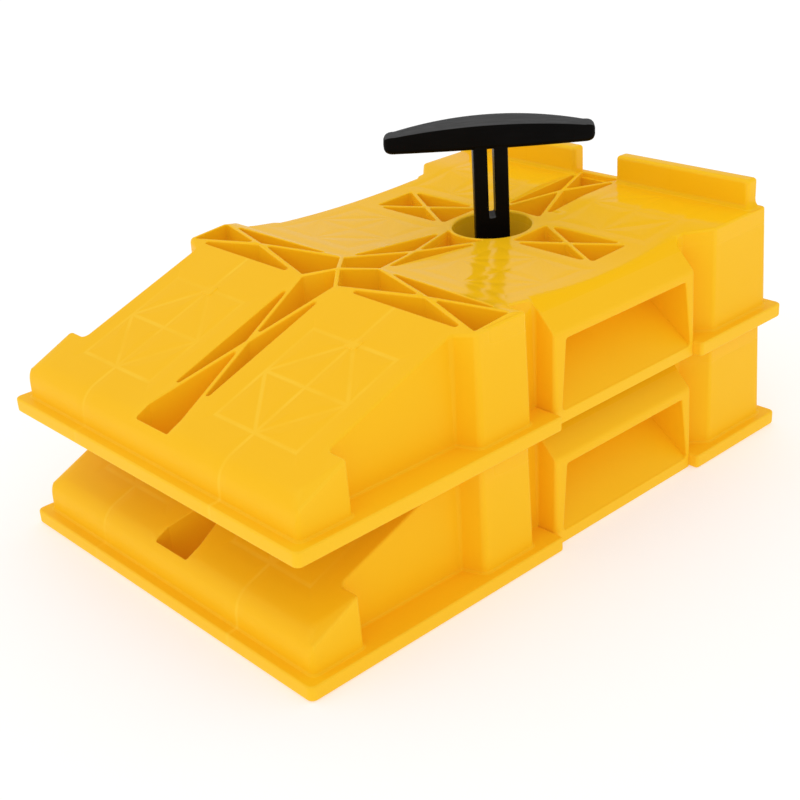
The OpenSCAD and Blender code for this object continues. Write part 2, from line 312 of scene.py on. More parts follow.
class Shape:
    """The points and faces of one mesh, in millimetres."""

    def __init__(self):
        self.points, self.faces = [], []

    def ring(self, points):
        first = len(self.points)
        self.points += [tuple(p) for p in points]
        return list(range(first, len(self.points)))

    def strip(self, a, b, skip=()):
        """Quads between two closed rings of as many points, apart from the skipped ones."""
        for i in range(len(a)):
            if i not in skip:
                j = (i + 1) % len(a)
                self.faces.append((a[i], a[j], b[j], b[i]))

    def strips(self, rings, skip=()):
        for a, b in zip(rings, rings[1:]):
            self.strip(a, b, skip)

    def cap(self, rings, free, flat, lift, turned=False):
        """Fills between rings. flat takes a point to its plan, and lift takes a plan point back."""
        outlines = [[flat(self.points[i]) for i in ring] for ring in rings]
        given = [i for ring in rings for i in ring]
        if len(free):
            usable = inside(free, outlines) & (clearance(free, outlines) > CLEAR)
            free = [p for p, k in zip(free, usable) if k]
        points, triangles, source = triangulate(outlines, free)
        index = []
        for p, came in zip(points, source):
            known = [given[c] for c in came if c < len(given)]
            index.append(known[0] if known else self.ring([lift(p.x, p.y)])[0])
        centres = [sum((points[i] for i in t), Vector((0, 0))) / 3 for t in triangles]
        for t, k in zip(triangles, inside(centres, outlines)):
            if k:
                face = [index[i] for i in t]
                if len(set(face)) == 3:
                    self.faces.append(tuple(reversed(face)) if turned else tuple(face))

    def rounded_edge(self, outline, r, height, sign=1, steps=EDGE_STEPS):
        """Rings that round the upper edge of an outline inward. sign -1 rounds a hole's edge outward."""
        rings = []
        for inward, down in quarter(r, steps):
            plan = inset(outline, sign * inward)
            rings.append(self.ring((x, y, height(x, y) - down) for x, y in plan))
        self.strips(rings)
        return rings

    def join(self, other):
        """Takes in another shape's points and faces."""
        first = len(self.points)
        self.points += other.points
        self.faces += [tuple(first + i for i in f) for f in other.faces]

    def object(self, name, material, place):
        mesh = bpy.data.meshes.new(name)
        mesh.from_pydata([Vector(p) * MM for p in self.points], [], self.faces)
        work = bmesh.new()
        work.from_mesh(mesh)
        bmesh.ops.remove_doubles(work, verts=work.verts, dist=MERGE * MM)
        bmesh.ops.dissolve_degenerate(work, edges=work.edges, dist=MERGE / 2 * MM)
        bmesh.ops.delete(work, geom=[e for e in work.edges if not e.link_faces], context="EDGES")
        bmesh.ops.recalc_face_normals(work, faces=work.faces)
        for e in work.edges:
            e.smooth = len(e.link_faces) == 2 and e.calc_face_angle(math.pi) < SHARP_ANGLE
        for f in work.faces:
            f.smooth = True
        open_edges = sum(len(e.link_faces) != 2 for e in work.edges)
        if open_edges:
            print(f"{name}: {open_edges} edges without two faces")
        work.to_mesh(mesh)
        work.free()
        mesh.materials.append(material)
        piece = bpy.data.objects.new(name, mesh)
        scene.collection.objects.link(piece)
        piece.matrix_world = place
        weigh = piece.modifiers.new("even_shading", "WEIGHTED_NORMAL")
        weigh.keep_sharp = True
        return piece


def flat_plan(p):
    return p[0], p[1]


def plate(outline, z0, z1, r):
    """A closed flat plate with rounded edges, drawn in plan."""
    shape = Shape()
    up = shape.rounded_edge(outline, r, lambda x, y: z1)
    down = shape.rounded_edge(outline, r, lambda x, y: z0 + r)
    # the lower edge is the upper one turned over
    for ring, (_, up_by) in zip(down, quarter(r)):
        for i in ring:
            x, y, _ = shape.points[i]
            shape.points[i] = (x, y, z0 + up_by)
    shape.strip(up[0], down[0])
    shape.cap([up[-1]], [], flat_plan, lambda x, y: (x, y, z1))
    shape.cap([down[-1]], [], flat_plan, lambda x, y: (x, y, z0), turned=True)
    return shape


# ---- Surface of a ramp ----
def side_height(x):
    """Height of the ramp's side outline at x."""
    slope_x = LIP_X + LIP_R * (1 - math.sin(SLOPE))
    slope_z = LIP_Z + LIP_R * math.cos(SLOPE)
    crest_in = CREST_X - CREST_R * math.sin(SLOPE)
    if x < slope_x:
        return LIP_Z + math.sqrt(max(0, LIP_R ** 2 - (LIP_X + LIP_R - x) ** 2))
    if x < crest_in:
        crest_in_z = CREST_Z - CREST_R * (1 - math.cos(SLOPE))
        return slope_z + (crest_in_z - slope_z) * (x - slope_x) / (crest_in - slope_x)
    if x < CREST_OUT:
        return CREST_Z - CREST_R + math.sqrt(CREST_R ** 2 - (x - CREST_X) ** 2)
    arc = CRADLE_Z + CRADLE_R - math.sqrt(CRADLE_R ** 2 - (min(x, CRADLE_END + 40) - CRADLE_X) ** 2)
    return soft_min(arc, DECK_Z, 1.5)


def block_height(y):
    """Height of the sloping face above the hand-hold."""
    return BLOCK_FOOT + BLOCK_CLIMB * (BLOCK_FACE_Y - abs(y))


def soft_min(a, b, r):
    """The lower of two heights, with the edge between them rounded over about r."""
    h = max(0.0, r - abs(a - b)) / r
    return min(a, b) - h * h * r / 4


def surface(x, y):
    """Height of the ramp's top."""
    z = side_height(x)
    ramp_in = min(x - BLOCK_X[0], BLOCK_X[1] - x) + BLOCK_BLEND
    if ramp_in > 0:
        share = min(1.0, ramp_in / BLOCK_BLEND)
        z += (soft_min(z, block_height(y), CREASE_R) - z) * share
    return z


def ramp_outline():
    """Top edge of the outer walls, counter-clockwise. Each corner has its place and its rounding."""
    nose_y = TOWER_Y + 1.2            # the walls lean out, and the nose is low
    half = [
        (REAR_X, TOWER_Y, 3), (REAR_TOWER_X[1], TOWER_Y, 5), (REAR_TOWER_X[0], CORE_Y, 3),
        (BLOCK_X[1], CORE_Y, 3), (BLOCK_X[1], BLOCK_Y, 2.2),
        (BLOCK_X[0], BLOCK_Y, 2.2), (BLOCK_X[0], CORE_Y, 3),
        (TOWER_X[2], CORE_Y, 3), (TOWER_X[2], TOWER_Y, 3),
        (TOWER_X[1], TOWER_Y, 4), (TOWER_X[0], CORE_Y, 4),
        (NOSE_X, CORE_Y, 4), (NOSE_X, nose_y, 3), (LIP_X, nose_y, 3.5),
    ]
    other = [(x, -y, r) for x, y, r in reversed(half)]
    line = half + other
    return rounded([(x, y) for x, y, _ in line], [r for _, _, r in line], math.radians(15))


# Open trenches of the top: their ends along the ramp, and their half widths or sides
RAMP_X, RAMP_HALF = (14, 150), 17
MID_X, MID_HALF = (187, 285), 19
CROSS_X, CROSS_HALF, CROSS_TAPER = (150, 187), 138.5, 5
REAR_TRENCH_X, REAR_HALF = (343, 435), 20
SIDE_X, SIDE_Y = (295, 334), (34, 105)
LAP = 0.5                           # trenches that meet overlap by this much
RIB_X, RIB_REACH = 30, 6            # start of the slope's crossed ribs, and how far they enter its walls

RAMP_TRENCH = rect(RAMP_X[0], RAMP_X[1] + LAP, -RAMP_HALF, RAMP_HALF)
MID_TRENCH = rect(MID_X[0] - LAP, MID_X[1], -MID_HALF, MID_HALF)
CROSS_TIP_X = CROSS_X[1] - CROSS_TAPER
CROSS_TRENCH = [
    (CROSS_X[0], -CROSS_HALF), (CROSS_TIP_X, -CROSS_HALF), (CROSS_X[1], -MID_HALF),
    (CROSS_X[1], MID_HALF), (CROSS_TIP_X, CROSS_HALF), (CROSS_X[0], CROSS_HALF),
]
REAR_TRENCH = rect(*REAR_TRENCH_X, -REAR_HALF, REAR_HALF)
SIDE_TRENCH = rect(*SIDE_X, *SIDE_Y)


def trench_ribs():
    """The crossed ribs in the trenches. Each ends at a corner of its trench."""
    x0, x1 = CROSS_X
    node = both([bar((x0, -RAMP_HALF), (x1, MID_HALF), RIB)])
    out_ribs = [((x0, RAMP_HALF), (CROSS_TIP_X, CROSS_HALF)), ((x1, MID_HALF), (x0, CROSS_HALF))]
    halves = both([bar(a, b, RIB) for a, b in out_ribs])
    rise = 2 * RAMP_HALF / (x0 - RIB_X)
    start = (RIB_X - RIB_REACH, -RAMP_HALF - RIB_REACH * rise)
    slope = both([bar(start, (x0, RAMP_HALF), RIB)])
    middle = cross(MID_X, (-MID_HALF, MID_HALF), RIB)
    rear = cross(REAR_TRENCH_X, (-REAR_HALF, REAR_HALF), RIB)
    return slope + node + middle + rear + halves + both(cross(SIDE_X, SIDE_Y, RIB))


CELL_CORNER_R, LEAST_CELL = 1.6, 12


def trench_cells():
    """Outline of each open cell in the top, counter-clockwise, with small round corners."""
    open_parts = [RAMP_TRENCH, MID_TRENCH, CROSS_TRENCH, REAR_TRENCH] + both([SIDE_TRENCH])
    filled = trench_ribs() + [circle(BORE_X, 0, BORE_R + RIB)]
    loops = regions(open_parts + filled, lambda c: covered(c, open_parts) & ~covered(c, filled))
    cells = []
    for loop in loops:
        area = 0.5 * sum(a[0] * b[1] - b[0] * a[1] for a, b in zip(loop, loop[1:] + loop[:1]))
        if area > LEAST_CELL:
            cells.append(rounded(loop, CELL_CORNER_R, math.radians(30)))
    return cells


def keyhole():
    """The opening in the bore's floor: a round hole with a slot across it, turned as the handle is."""
    half_l, half_w = KEY_L / 2, KEY_W / 2
    start = math.asin(half_w / KEY_R)
    steps = 10
    turns = [start + (math.pi - 2 * start) * k / steps for k in range(steps + 1)]
    side = [(KEY_R * math.cos(a), KEY_R * math.sin(a)) for a in turns]
    line = [(half_l, -half_w), (half_l, half_w)] + side
    line += [(-x, -y) for x, y in line]
    c, s = math.cos(HANDLE_TURN), math.sin(HANDLE_TURN)
    return [(BORE_X + x * c - y * s, x * s + y * c) for x, y in line]


PAD_Y = (35, 73, 110)
PADS_X = ((37, 76, 115), (207, 244, 281), (344, 382, 420))


def under_ribs():
    """The ribs of the underside: a crossed square under each pad, and two ties across the ramp."""
    ribs = []
    for xs in PADS_X:
        ribs += [bar((x, PAD_Y[0]), (x, PAD_Y[2]), UNDER_RIB) for x in xs]
        ribs += [bar((xs[0], y), (xs[2], y), UNDER_RIB) for y in PAD_Y]
        ribs += [bar((x, PAD_Y[1]), (xs[1], y), UNDER_RIB) for x in xs[::2] for y in PAD_Y[::2]]
    ties = [bar((x, -CORE_Y + 2), (x, CORE_Y - 2), UNDER_RIB) for x in (PADS_X[1][2], PADS_X[2][0])]
    return both(ribs) + ties


def grown(outline, d):
    return inset(outline, -d)


def hollow_plan():
    """Plan of the hollow underside inside the outer walls."""
    w = WALL
    lap_y = CORE_Y - w - 2              # the hollows at the sides run a little into the core
    nose = rect(LIP_X + w, NOSE_X - w, -TOWER_Y + w, TOWER_Y - w)
    core = rect(LIP_X + w, REAR_IN, -CORE_Y + w, CORE_Y - w)
    tower = [(TOWER_X[0] + w, lap_y), (TOWER_X[2] - w, lap_y), (TOWER_X[2] - w, TOWER_Y - w),
             (TOWER_X[1] + w, TOWER_Y - w), (TOWER_X[0] + w, CORE_Y - w)]
    rear = [(REAR_TOWER_X[0] + w, lap_y), (REAR_IN, lap_y), (REAR_IN, TOWER_Y - 9),
            (REAR_IN - 7, TOWER_Y - w), (REAR_TOWER_X[1] + w, TOWER_Y - w),
            (REAR_TOWER_X[0] + w, CORE_Y - w)]
    behind_hold = rect(BLOCK_X[0] + w, BLOCK_X[1] - w, lap_y, BLOCK_Y - w)
    return [nose, core] + both([tower, rear, behind_hold])


def add_underside(shape, rim):
    """The hollow underside: the rim's lower edge, the ribs, and the roofs of the hollows between."""
    hollow = hollow_plan()
    bore_end = 286                      # the boss takes over here from the walls of the middle trench
    mid_walls = rect(MID_TRENCH[0][0], bore_end, MID_TRENCH[0][1] - RIB, MID_TRENCH[2][1] + RIB)
    trench_walls = [grown(o, RIB) for o in (RAMP_TRENCH, *both([SIDE_TRENCH]))]
    trench_walls += [grown(CROSS_TRENCH, 2), mid_walls]
    solid = trench_walls + under_ribs() + [circle(BORE_X, 0, BORE_R + WALL)]
    under_trench = [grown(REAR_TRENCH, RIB)]
    hold_x0, hold_x1 = HOLD_X[0]
    under_hold = both([rect(hold_x0 - WALL, hold_x1 + WALL, BLOCK_Y - HOLD_DEPTH - 4, BLOCK_Y)])
    recess, key = [circle(BORE_X, 0, BORE_R)], [keyhole()]
    outline = [flat_plan(shape.points[i]) for i in rim]
    # points spread over the inside keep the triangles well shaped
    free = [(x, y) for x in range(30, int(REAR_X), 24) for y in range(-130, 131, 26)]
    every = [outline] + hollow + solid + under_trench + under_hold + recess + key
    points, triangles, _ = triangulate(every, free)
    centres = np.array([sum((points[i] for i in t), Vector((0, 0))) / 3 for t in triangles])
    hollow_here = covered(centres, hollow) & ~covered(centres, solid)
    kind = np.where(hollow_here, "hollow", "land").astype(object)
    kind[hollow_here & covered(centres, under_trench)] = "trench"
    kind[hollow_here & covered(centres, under_hold)] = "hold"
    kind[covered(centres, recess)] = "recess"
    kind[covered(centres, key)] = "key"
    kind[~inside(centres, [outline])] = "outside"

    def roof(sort, x, y):
        top = surface(x, y) - WALL
        if sort == "trench":
            return min(top, STOP_ROOM)
        if sort == "hold":
            return min(top, HOLD_Z[0] - 1 + HOLD_CLIMB * (BLOCK_Y + 1 - abs(y)) - 1.3 * WALL)
        return {"hollow": top, "recess": PLATE_Z[0], "land": LAND_Z}[sort]

    made = {}

    def corner(sort, i):
        if (sort, i) not in made:
            p = points[i]
            z = roof(sort, p.x, p.y)
            leans = p.x > REAR_IN - 7 and sort in ("hollow", "trench")
            lean = (REAR_LEAN + 2) * z / DECK_Z if leans else 0
            made[sort, i] = shape.ring([(p.x - lean, p.y, z)])[0]
        return made[sort, i]

    empty = ("outside", "key")
    sides, sorts_at = {}, {}
    for t, sort in zip(triangles, kind):
        if sort not in empty:
            shape.faces.append(tuple(corner(sort, i) for i in reversed(t)))
        for i in range(3):
            sides[t[i], t[(i + 1) % 3]] = sort
            if sort not in empty:
                sorts_at.setdefault(t[i], set()).add(sort)

    def upright(i, sort, other):
        """The points at i from one roof to the other, with those of any roof between them."""
        ends = sorted((shape.points[corner(k, i)][2], corner(k, i)) for k in (sort, other))
        all_here = sorted((shape.points[corner(k, i)][2], corner(k, i)) for k in sorts_at[i])
        run = [c for z, c in all_here if ends[0][0] <= z <= ends[1][0]]
        return run if run[0] == corner(sort, i) else run[::-1]

    for (a, b), sort in sides.items():
        other = sides.get((b, a), "outside")
        if a < b and sort != other and sort not in empty and other not in empty:
            shape.faces.append(tuple(upright(b, sort, other) + upright(a, other, sort)))


def crease_y(x):
    """Where the hand-hold block's sloping face meets the cradle."""
    return BLOCK_FACE_Y - (side_height(x) - BLOCK_FOOT) / BLOCK_CLIMB


def land_points():
    """Points inside the top surface, close together where it curves."""
    lip = (10.9, 11.5, 12.3, 13.3, 14.5, 16, 18, 22)
    slope, crest, cradle = range(34, 146, 14), range(147, 196, 4), range(200, 378, 8)
    deck = (379, 381, 383, 386, 392, 402, 412, 424, 434, 439)
    columns = (*range(-132, 133, 11), -137, 137)
    points = [(x, y) for x in (*lip, *slope, *crest, *cradle, *deck) for y in columns]
    for x in range(BLOCK_X[0] + 1, BLOCK_X[1], 6):
        y = crease_y(x)
        points += [(x, side * (y + d)) for side in (-1, 1) for d in (-3, -1.8, -0.9, 0, 0.9, 1.8, 3, 7)]
    return points


def drop(shape, ring, outline, levels):
    """Carries the outer wall down from a ring of the top edge, out by its draft and lean. Each level
    is a height, a distance outward, and the same where the flange is cut away."""
    n = len(outline)
    rings = [ring]
    for z, out, out_gap in levels:
        new = []
        for i, (x, y) in enumerate(outline):
            e0 = unit((x - outline[i - 1][0], y - outline[i - 1][1]))
            e1 = unit((outline[(i + 1) % n][0] - x, outline[(i + 1) % n][1] - y))
            m = unit((e0[1] + e1[1], -e0[0] - e1[0]))
            reach = 1 / max(0.5, m[0] * e0[1] - m[1] * e0[0])
            in_gap = FLANGE_GAP[0] < x < FLANGE_GAP[1] + 1
            fall = shape.points[ring[i]][2] - z
            away = (DRAFT * fall + (out_gap if in_gap else out)) * reach
            lean = REAR_LEAN * max(0.0, m[0]) * (DECK_Z - z) / DECK_Z if x > CRADLE_END else 0
            new.append((x + m[0] * away + lean, y + m[1] * away, z))
        rings.append(shape.ring(new))
    return rings


def add_hand_hold(shape, walls, i):
    """The outer face of a block, between points i and i + 1 of the wall's rings, and its hand-hold."""
    r = HOLD_EDGE_R
    j = (i + 1) % len(walls[0])
    panel = [ring[i] for ring in walls] + [ring[j] for ring in reversed(walls)]
    _, y_top, z_top = shape.points[walls[0][i]]
    _, y_low, z_low = shape.points[walls[-1][i]]
    side = math.copysign(1, y_top)

    def face_y(z):
        return y_top + (y_low - y_top) * (z_top - z) / (z_top - z_low)

    def back_y(z):
        return face_y(z) - side * min(HOLD_DEPTH, r + max(0.0, z - HOLD_Z[0]) / HOLD_CLIMB)

    def side_plan(p):
        return p[0], p[2]

    bend_z = HOLD_Z[0] + (HOLD_DEPTH - r) * HOLD_CLIMB
    share = (bend_z - HOLD_Z[0]) / (HOLD_Z[1] - HOLD_Z[0])
    bend_x = [a + (b - a) * share + out for a, b, out in zip(*HOLD_X, (-0.05, 0.05))]
    (low_x0, low_x1), (top_x0, top_x1) = HOLD_X
    corners = [(low_x0, HOLD_Z[0]), (low_x1, HOLD_Z[0]), (bend_x[1], bend_z),
               (top_x1, HOLD_Z[1]), (top_x0, HOLD_Z[1]), (bend_x[0], bend_z)]
    rim = rounded(corners, [2.5, 2.5, 0, 1.8, 1.8, 0])
    rings = []
    for inward, out in quarter(r):
        plan = inset(rim, -out)
        rings.append(shape.ring((x, face_y(z) - side * inward, z) for x, z in plan))
    rings.append(shape.ring((x, back_y(z), z) for x, z in rim))
    shape.strips(rings)
    shape.cap([panel, rings[0]], [], side_plan, lambda x, z: (x, face_y(z), z))
    middle = [(x, bend_z) for x in range(low_x0 + 8, int(low_x1) - 4, 8)]
    shape.cap([rings[-1]], middle, side_plan, lambda x, z: (x, back_y(z), z))


def add_slab(shape, foot, front):
    """The flange at one end of the ramp, up to the gap at the hand-holds. It ends inside the wall."""
    wall = inset([flat_plan(shape.points[i]) for i in foot], WALL - 0.6)
    gap = FLANGE_GAP[0] if front else FLANGE_GAP[1]
    beyond = [(x, y) for x, y in wall if (x < gap - 4 if front else x > gap + 6)]
    # start the run of wall points at the gap
    start = next(i for i, p in enumerate(beyond)
                 if p[1] * beyond[i - 1][1] < 0 and abs(p[0] - gap) < 30)
    run = beyond[start:] + beyond[:start]
    run = [(gap, run[0][1])] + run + [(gap, run[-1][1])]
    end, w = (0 if front else LENGTH), HALF_WIDTH
    y0, y1 = run[-1][1], run[0][1]
    w0, w1 = math.copysign(w, y0), math.copysign(w, y1)
    corners = [(gap, y0), (gap, w0), (end, w0), (end, w1), (gap, w1), (gap, y1)]
    outer = rounded(corners, [0, 2.5, FLANGE_R, FLANGE_R, 2.5, 0])
    outline = outer + run[1:-1]
    area = sum(a[0] * b[1] - b[0] * a[1] for a, b in zip(outline, outline[1:] + outline[:1]))
    if area < 0:
        outline.reverse()
    shape.join(plate(outline, 0, FLANGE_T, SLAB_EDGE_R))


STOP_CORNER_R, STOP_EDGE_R = 3.0, 2.6
STOP_FILLET, STOP_END_FILLET = 3.2, 2.3     # the fillet at its foot, and what its outer end adds
STOP_SINK = 1.5                             # how far it goes down into the deck


def add_stop(shape, side):
    """A tyre stop: an upright with rounded corners and a fillet at its foot."""
    y0, y1 = STOP_Y
    plan = rounded(rect(*STOP_X, y0, y1), STOP_CORNER_R, math.radians(18))
    cuts = (y0 + 6, y1 - 6)
    for y in cuts:
        plan = split(plan, 1, y)
    if side < 0:
        plan = flip(plan)

    rings = shape.rounded_edge(plan, STOP_EDGE_R, lambda x, y: STOP_Z)
    free = [(x, side * y) for x in (STOP_X[0] + 5, STOP_X[1] - 5) for y in cuts]
    shape.cap([rings[-1]], free, flat_plan, lambda x, y: (x, y, STOP_Z))
    down = [rings[0]]
    for across, up in quarter(1):
        ring = []
        for x, y in plan:
            in_front = 1 if x < sum(STOP_X) / 2 else 0
            forward = max(0.0, min(1.0, (STOP_X[1] - 1 - x) / 3)) * in_front
            outer = max(0.0, min(1.0, (abs(y) - y1 + 3) / 3))
            foot_r = STOP_FILLET + STOP_END_FILLET * outer
            out = foot_r * across
            ring.append((x - out * forward, y + side * out * outer, DECK_Z + foot_r * up - 0.02))
        down.append(shape.ring(ring))
    down.append(shape.ring((x, y, DECK_Z - STOP_SINK) for x, y in plan))
    shape.strips(down)
    shape.cap([down[-1]], [], flat_plan, lambda x, y: (x, y, DECK_Z - STOP_SINK), turned=True)


def split(outline, axis, value):
    """The outline with a point added wherever it crosses value on an axis."""
    out = []
    for p, q in zip(outline, outline[1:] + outline[:1]):
        out.append(p)
        if (p[axis] - value) * (q[axis] - value) < -1e-6:
            t = (value - p[axis]) / (q[axis] - p[axis])
            out.append((p[0] + (q[0] - p[0]) * t, p[1] + (q[1] - p[1]) * t))
    return out


MARK_SIZE, MARK_CORNER_R, MARK_RISE = (8, 10), 1.2, 0.35


def add_mark(shape, x0, y0):
    """A mould's gate mark: a low rectangle that stands just proud of the slope."""
    half_x, half_y = (d / 2 for d in MARK_SIZE)
    plan = rounded(rect(x0 - half_x, x0 + half_x, y0 - half_y, y0 + half_y), MARK_CORNER_R)
    rings = shape.rounded_edge(plan, MARK_RISE, lambda x, y: surface(x, y) + MARK_RISE)
    shape.cap([rings[-1]], [], flat_plan, lambda x, y: (x, y, surface(x, y) + MARK_RISE))
    foot = shape.ring((x, y, surface(x, y) - 1) for x, y in plan)
    shape.strip(rings[0], foot)
    shape.cap([foot], [], flat_plan, lambda x, y: (x, y, surface(x, y) - 1), turned=True)


# Where there is no flange, the wall bows by a hair's breadth below this height
GAP_BOW, GAP_BOW_TOP = 0.0002, 50


def ramp_shape():
    """The whole ramp as one shape."""
    shape = Shape()
    outline = ramp_outline()
    edge = shape.rounded_edge(outline, EDGE_R, surface)
    land = [edge[-1]]
    for cell in trench_cells():
        rings = shape.rounded_edge(cell, CELL_EDGE_R, surface, -1, 3)
        land.append(rings[-1])
        over_stops = max(x for x, _ in cell) > REAR_TRENCH_X[0] and abs(cell[0][1]) < REAR_HALF + 1
        floor = TRENCH_FLOOR + (STOP_ROOM if over_stops else 0)
        foot = shape.ring((x, y, floor) for x, y in cell)
        shape.strip(rings[0], foot)
        shape.cap([foot], [], flat_plan, lambda x, y: (x, y, floor))

    # bore and its keyhole
    bore = circle(BORE_X, 0, BORE_R, 96)
    rings = shape.rounded_edge(bore, BORE_EDGE_R, surface, -1)
    land.append(rings[-1])
    foot = shape.ring((x, y, PLATE_Z[1]) for x, y in bore)
    shape.strip(rings[0], foot)
    key = keyhole()
    key_top = shape.ring((x, y, PLATE_Z[1]) for x, y in key)
    key_low = shape.ring((x, y, PLATE_Z[0]) for x, y in key)
    shape.strip(key_top, key_low)
    shape.cap([foot, key_top], [], flat_plan, lambda x, y: (x, y, PLATE_Z[1]))

    shape.cap(land, land_points(), flat_plan, lambda x, y: (x, y, surface(x, y)))

    # outer walls, with a fillet where they meet the flange
    levels = [(FLANGE_T + up, out) for out, up in quarter(FOOT_R)]
    levels += [(FLANGE_T - SLAB_EDGE_R, 0), (LAND_Z, 0)]
    # the bow keeps the points of a block's end out of one line
    levels = [(z, out, GAP_BOW * (z - LAND_Z) * (GAP_BOW_TOP - z)) for z, out in levels]
    walls = drop(shape, edge[0], outline, levels)
    n = len(outline)
    long_ones = [i for i in range(n) if abs(abs(outline[i][1]) - BLOCK_Y) < 0.1
                 and abs(outline[i][0] - outline[(i + 1) % n][0]) > 100]
    shape.strips(walls, long_ones)
    for i in long_ones:
        add_hand_hold(shape, walls, i)
    add_underside(shape, walls[-1])
    add_slab(shape, walls[-1], True)
    add_slab(shape, walls[-1], False)
    for side in (1, -1):
        add_stop(shape, side)
        add_mark(shape, PADS_X[0][2], side * PAD_Y[1])
    return shape


# ---- Handle, in its own frame: u along the grip, v across it, z from the ground ----
GRIP_HALF, GRIP_D, GRIP_END_D = 148 / 2, 17.5, 12.0
GRIP_Z, GRIP_H, GRIP_END_H = 221.5, 23, 15.2
GRIP_END_R = 8
GRIP_CROWN, CROWN_FALL = 5.0, 0.6           # and the share of it that is gone at the ends
UNDER_R, SHOULDER_R, SHOULDER_TURN = 3.2, 1.3, math.radians(78)
STEM_W, STEM_T, STEM_R = 24.5, 17, 2.5
SLOT_W, SLOT_SLANT, SLOT_CORNER_R, SLOT_EDGE_R = 4.8, 0.5, 1.2, 1.0
SLOTS = ((26, 92), (100, 148), (172.5, 222.5))
FOOT = (52, 15, 1, 9)                       # length, width, underside and top
FOOT_CORNER_R, FOOT_EDGE_R = 5, 1.2
STEM_Z = (FOOT[2] + 1, GRIP_Z + 6)          # its ends are inside the foot and the grip


def grip_section(u):
    """Half depth, underside and shoulder height of the grip at u, and its crown above the shoulder."""
    straight = GRIP_HALF - GRIP_END_R
    t = min(1.0, abs(u) / straight)
    half = (GRIP_D + (GRIP_END_D - GRIP_D) * t * t) / 2
    low = GRIP_Z
    crown = GRIP_CROWN * (1 - CROWN_FALL * t * t)
    high = GRIP_Z + GRIP_H + (GRIP_END_H - GRIP_H) * t * t - crown
    beyond = max(0.0, abs(u) - straight) / GRIP_END_R
    if beyond > 0:
        shrink = max(0.0, 1 - beyond ** 3) ** (1 / 3)
        middle = (low + high) / 2
        half, crown = half * shrink, crown * shrink
        low, high = middle - (middle - low) * shrink, middle + (high - middle) * shrink
    return half, low, high, crown


def grip_ring(u):
    """The grip's outline at u."""
    half, low, high, crown = grip_section(u)
    under_r, edge_r = min(UNDER_R, half * 0.6), min(SHOULDER_R, half * 0.3)
    side = [(half - inward, low + up) for up, inward in quarter(under_r)]
    for k in range(4):
        a = SHOULDER_TURN * k / 3
        side.append((half - edge_r * (1 - math.cos(a)), high - edge_r * (1 - math.sin(a))))
    shoulder = side[-1]
    for k in range(1, 6):
        t = k / 5
        side.append((shoulder[0] * (1 - t), shoulder[1] + crown * (1 - (1 - t) ** 2)))
    other = [(-v, z) for v, z in reversed(side[:-1])]
    return [(u, v, z) for v, z in side + other]


def handle_shape():
    """The whole handle as one shape."""
    shape = Shape()
    straight = GRIP_HALF - GRIP_END_R
    stations = [straight * k / 12 for k in range(-12, 13)]
    ends = [straight + GRIP_END_R * math.sin(math.pi / 2 * k / 6) for k in range(1, 6)]
    stations = [-u for u in reversed(ends)] + stations + ends
    rings = [shape.ring(grip_ring(u)) for u in stations]
    shape.strips(rings)
    for ring, u in ((rings[0], -GRIP_HALF), (rings[-1], GRIP_HALF)):
        _, low, high, _ = grip_section(math.copysign(straight, u))
        tip = shape.ring([(u, 0, (low + high) / 2)])[0]
        for i in range(len(ring)):
            shape.faces.append((ring[i], ring[(i + 1) % len(ring)], tip))

    # stem, with the slots between its legs
    half_w, half_t = STEM_W / 2, STEM_T / 2
    plan = rounded(rect(-half_w, half_w, -half_t, half_t), STEM_R)
    low = shape.ring((u, v, STEM_Z[0]) for u, v in plan)
    top = shape.ring((u, v, STEM_Z[1]) for u, v in plan)
    n = len(plan)
    faces = [i for i in range(n) if abs(abs(plan[i][1]) - half_t) < 0.01
             and abs(plan[i][0] - plan[(i + 1) % n][0]) > half_w]
    shape.strip(top, low, faces)
    shape.cap([top], [], flat_plan, lambda u, v: (u, v, STEM_Z[1]))
    shape.cap([low], [], flat_plan, lambda u, v: (u, v, STEM_Z[0]), turned=True)
    panels = [[top[i], low[i], low[(i + 1) % n], top[(i + 1) % n]] for i in faces]
    holes = []
    w = SLOT_W / 2
    for z0, z1 in SLOTS:
        rim = rounded([(-w, z0), (w, z0 + SLOT_SLANT), (w, z1), (-w, z1)], SLOT_CORNER_R)
        pair = []
        for v_face in (-half_t, half_t):
            rings = []
            for inward, out in quarter(SLOT_EDGE_R):
                v = v_face - math.copysign(inward, v_face)
                rings.append(shape.ring((u, v, z) for u, z in inset(rim, -out)))
            shape.strips(rings)
            pair.append(rings)
        shape.strip(pair[0][-1], pair[1][-1])
        holes.append(pair)
    for panel in panels:
        v_face = shape.points[panel[0]][1]
        which = 0 if v_face < 0 else 1
        shape.cap([panel] + [pair[which][0] for pair in holes], [], lambda p: (p[0], p[2]),
                  lambda u, z: (u, v_face, z))
    half_l, half_w = FOOT[0] / 2, FOOT[1] / 2
    foot_plan = rounded(rect(-half_l, half_l, -half_w, half_w), FOOT_CORNER_R)
    shape.join(plate(foot_plan, FOOT[2], FOOT[3], FOOT_EDGE_R))
    return shape


